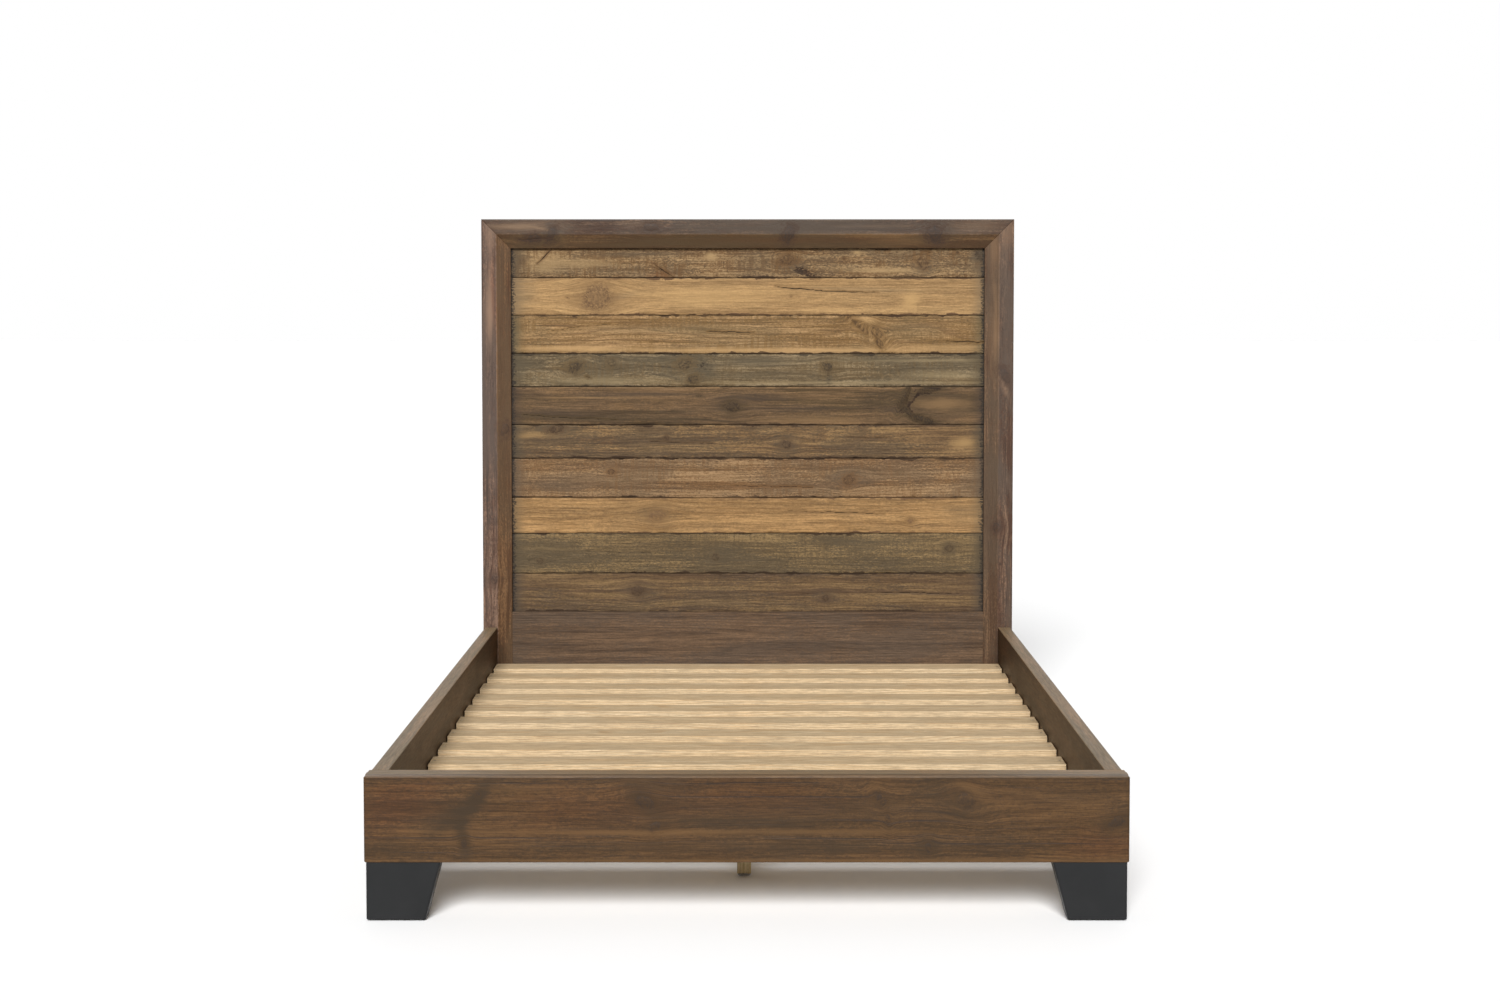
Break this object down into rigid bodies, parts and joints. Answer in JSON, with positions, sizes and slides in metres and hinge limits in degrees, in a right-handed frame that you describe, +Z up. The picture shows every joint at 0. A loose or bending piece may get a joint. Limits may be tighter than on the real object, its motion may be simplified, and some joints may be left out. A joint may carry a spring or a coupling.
{
  "type": "bed frame",
  "caption": "Wooden bed frame with a plank headboard in a bevelled frame, low box footboard, hook-on side rails, slat deck and dark tapered block feet.",
  "frame": {"origin": "on the floor, in the middle of the bed's length and width", "axes": "+Z up, +Y from the foot end to the headboard, +X to the right seen from the foot end"},
  "size_m": [1.625, 2.196, 1.562],
  "materials": {
    "reclaimed_pine": "rough-sawn, waxed",
    "stained_frame_pine": "stained, satin",
    "walnut_stained_pine": "stained, satin",
    "charcoal_paint": "satin charcoal paint",
    "raw_pine": "planed, unfinished",
    "nylon": "moulded",
    "zinc_plate": "zinc-plated sheet",
    "zinc_fasteners": "zinc-plated"
  },
  "bodies": {
    "frame": {"beam_hangers": "zinc_plate", "centre_beam": "raw_pine", "centre_leg_1": "raw_pine", "centre_leg_2": "raw_pine", "centre_leg_3": "raw_pine", "foot_front_left": "charcoal_paint", "foot_front_right": "charcoal_paint", "foot_glides": "nylon", "foot_rear_left": "charcoal_paint", "foot_rear_right": "charcoal_paint", "footboard_back_board": "walnut_stained_pine", "footboard_bottom_strip": "walnut_stained_pine", "footboard_end_block_left": "walnut_stained_pine", "footboard_end_block_right": "walnut_stained_pine", "footboard_front_board": "walnut_stained_pine", "footboard_top_strip": "walnut_stained_pine", "hanger_bolts": "zinc_fasteners", "headboard_batten_left": "raw_pine", "headboard_batten_middle": "raw_pine", "headboard_batten_right": "raw_pine", "headboard_bottom_rail": "stained_frame_pine", "headboard_mitre_splines": "stained_frame_pine", "headboard_plank_01": "reclaimed_pine", "headboard_plank_02": "reclaimed_pine", "headboard_plank_03": "reclaimed_pine", "headboard_plank_04": "reclaimed_pine", "headboard_plank_05": "reclaimed_pine", "headboard_plank_06": "reclaimed_pine", "headboard_plank_07": "reclaimed_pine", "headboard_plank_08": "reclaimed_pine", "headboard_plank_09": "reclaimed_pine", "headboard_plank_10": "reclaimed_pine", "headboard_stile_left": "stained_frame_pine", "headboard_stile_right": "stained_frame_pine", "headboard_top_rail": "stained_frame_pine", "leg_threaded_inserts": "zinc_fasteners", "plate_screws": "zinc_fasteners", "rail_hook_plates": "zinc_plate", "rail_screws": "zinc_fasteners", "rail_slotted_plates": "zinc_plate", "side_rail_left": "walnut_stained_pine", "side_rail_right": "walnut_stained_pine", "slat_01": "raw_pine", "slat_02": "raw_pine", "slat_03": "raw_pine", "slat_04": "raw_pine", "slat_05": "raw_pine", "slat_06": "raw_pine", "slat_07": "raw_pine", "slat_08": "raw_pine", "slat_09": "raw_pine", "slat_10": "raw_pine", "slat_11": "raw_pine", "slat_12": "raw_pine", "slat_cleat_left": "raw_pine", "slat_cleat_right": "raw_pine", "slat_screws": "zinc_fasteners"},
    "glide_1": {"levelling_glide_1": "zinc_fasteners"},
    "glide_2": {"levelling_glide_2": "zinc_fasteners"},
    "glide_3": {"levelling_glide_3": "zinc_fasteners"}
  },
  "joints": [
    {"name": "glide_1_height", "type": "slide", "parent": "frame", "child": "glide_1", "axis": [0, 0, -1], "range_m": [0, 0.012]},
    {"name": "glide_2_height", "type": "slide", "parent": "frame", "child": "glide_2", "axis": [0, 0, -1], "range_m": [0, 0.012]},
    {"name": "glide_3_height", "type": "slide", "parent": "frame", "child": "glide_3", "axis": [0, 0, -1], "range_m": [0, 0.012]}
  ]
}
